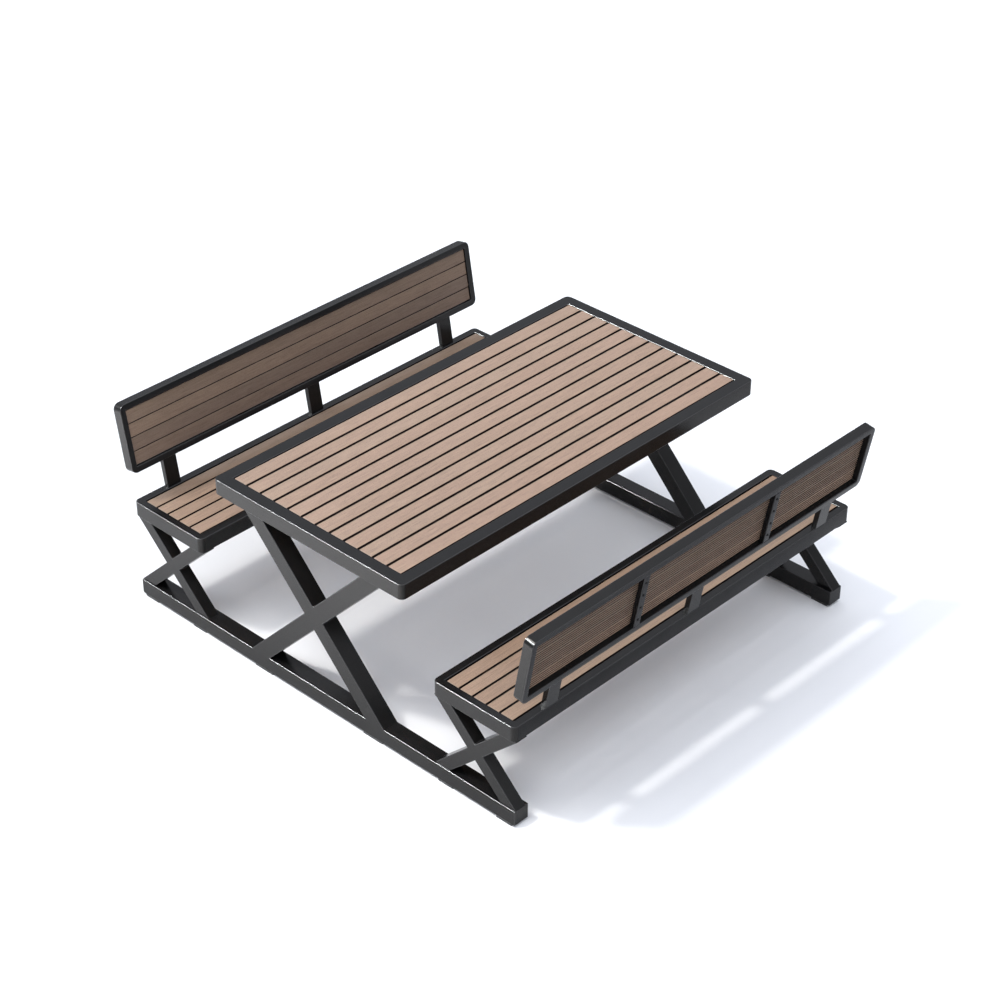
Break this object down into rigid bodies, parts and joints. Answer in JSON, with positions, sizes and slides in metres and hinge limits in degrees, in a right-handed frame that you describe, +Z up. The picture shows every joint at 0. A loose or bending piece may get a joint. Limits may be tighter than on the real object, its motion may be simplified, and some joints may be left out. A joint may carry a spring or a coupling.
{
  "type": "picnic table",
  "caption": "Picnic table with a benched seat and leaning backrest on each long side, slatted tops in welded tube frames, crossed legs on two floor rails.",
  "frame": {"origin": "on the floor under the middle of the table top", "axes": "+X across the table from the left bench to the right bench, +Y along the table from the front end to the rear end, +Z up"},
  "size_m": [2.0268, 1.8, 0.7938],
  "materials": {
    "powder_coat": "charcoal powder coat, fine satin texture",
    "composite_slat": "tan wood composite, fine grain and speckle, matt",
    "pad_rubber": "black rubber, matt",
    "screw_steel": "plain zinc-plated screw steel"
  },
  "bodies": {
    "root": {"back_slat_screws": "screw_steel", "foot_pad_screws": "screw_steel", "foot_pads": "pad_rubber", "front_floor_rail": "powder_coat", "front_left_bench_cross_legs": "powder_coat", "front_right_bench_cross_legs": "powder_coat", "front_table_cross_legs": "powder_coat", "left_back_frame": "powder_coat", "left_back_posts": "powder_coat", "left_back_slat_1": "composite_slat", "left_back_slat_2": "composite_slat", "left_back_slat_3": "composite_slat", "left_back_slat_4": "composite_slat", "left_back_supports": "powder_coat", "left_seat_bearers": "powder_coat", "left_seat_frame": "powder_coat", "left_seat_slat_1": "composite_slat", "left_seat_slat_2": "composite_slat", "left_seat_slat_3": "composite_slat", "left_seat_slat_4": "composite_slat", "left_seat_slat_5": "composite_slat", "leg_head_plates": "powder_coat", "rail_end_plates": "powder_coat", "rear_floor_rail": "powder_coat", "rear_left_bench_cross_legs": "powder_coat", "rear_right_bench_cross_legs": "powder_coat", "rear_table_cross_legs": "powder_coat", "right_back_frame": "powder_coat", "right_back_posts": "powder_coat", "right_back_slat_1": "composite_slat", "right_back_slat_2": "composite_slat", "right_back_slat_3": "composite_slat", "right_back_slat_4": "composite_slat", "right_back_supports": "powder_coat", "right_seat_bearers": "powder_coat", "right_seat_frame": "powder_coat", "right_seat_slat_1": "composite_slat", "right_seat_slat_2": "composite_slat", "right_seat_slat_3": "composite_slat", "right_seat_slat_4": "composite_slat", "right_seat_slat_5": "composite_slat", "seat_slat_screws": "screw_steel", "table_bearers": "powder_coat", "table_frame_front_end": "powder_coat", "table_frame_left_side": "powder_coat", "table_frame_rear_end": "powder_coat", "table_frame_right_side": "powder_coat", "table_slat_01": "composite_slat", "table_slat_02": "composite_slat", "table_slat_03": "composite_slat", "table_slat_04": "composite_slat", "table_slat_05": "composite_slat", "table_slat_06": "composite_slat", "table_slat_07": "composite_slat", "table_slat_08": "composite_slat", "table_slat_09": "composite_slat", "table_slat_10": "composite_slat", "table_slat_11": "composite_slat", "table_slat_12": "composite_slat", "table_slat_screws": "screw_steel"}
  },
  "joints": []
}
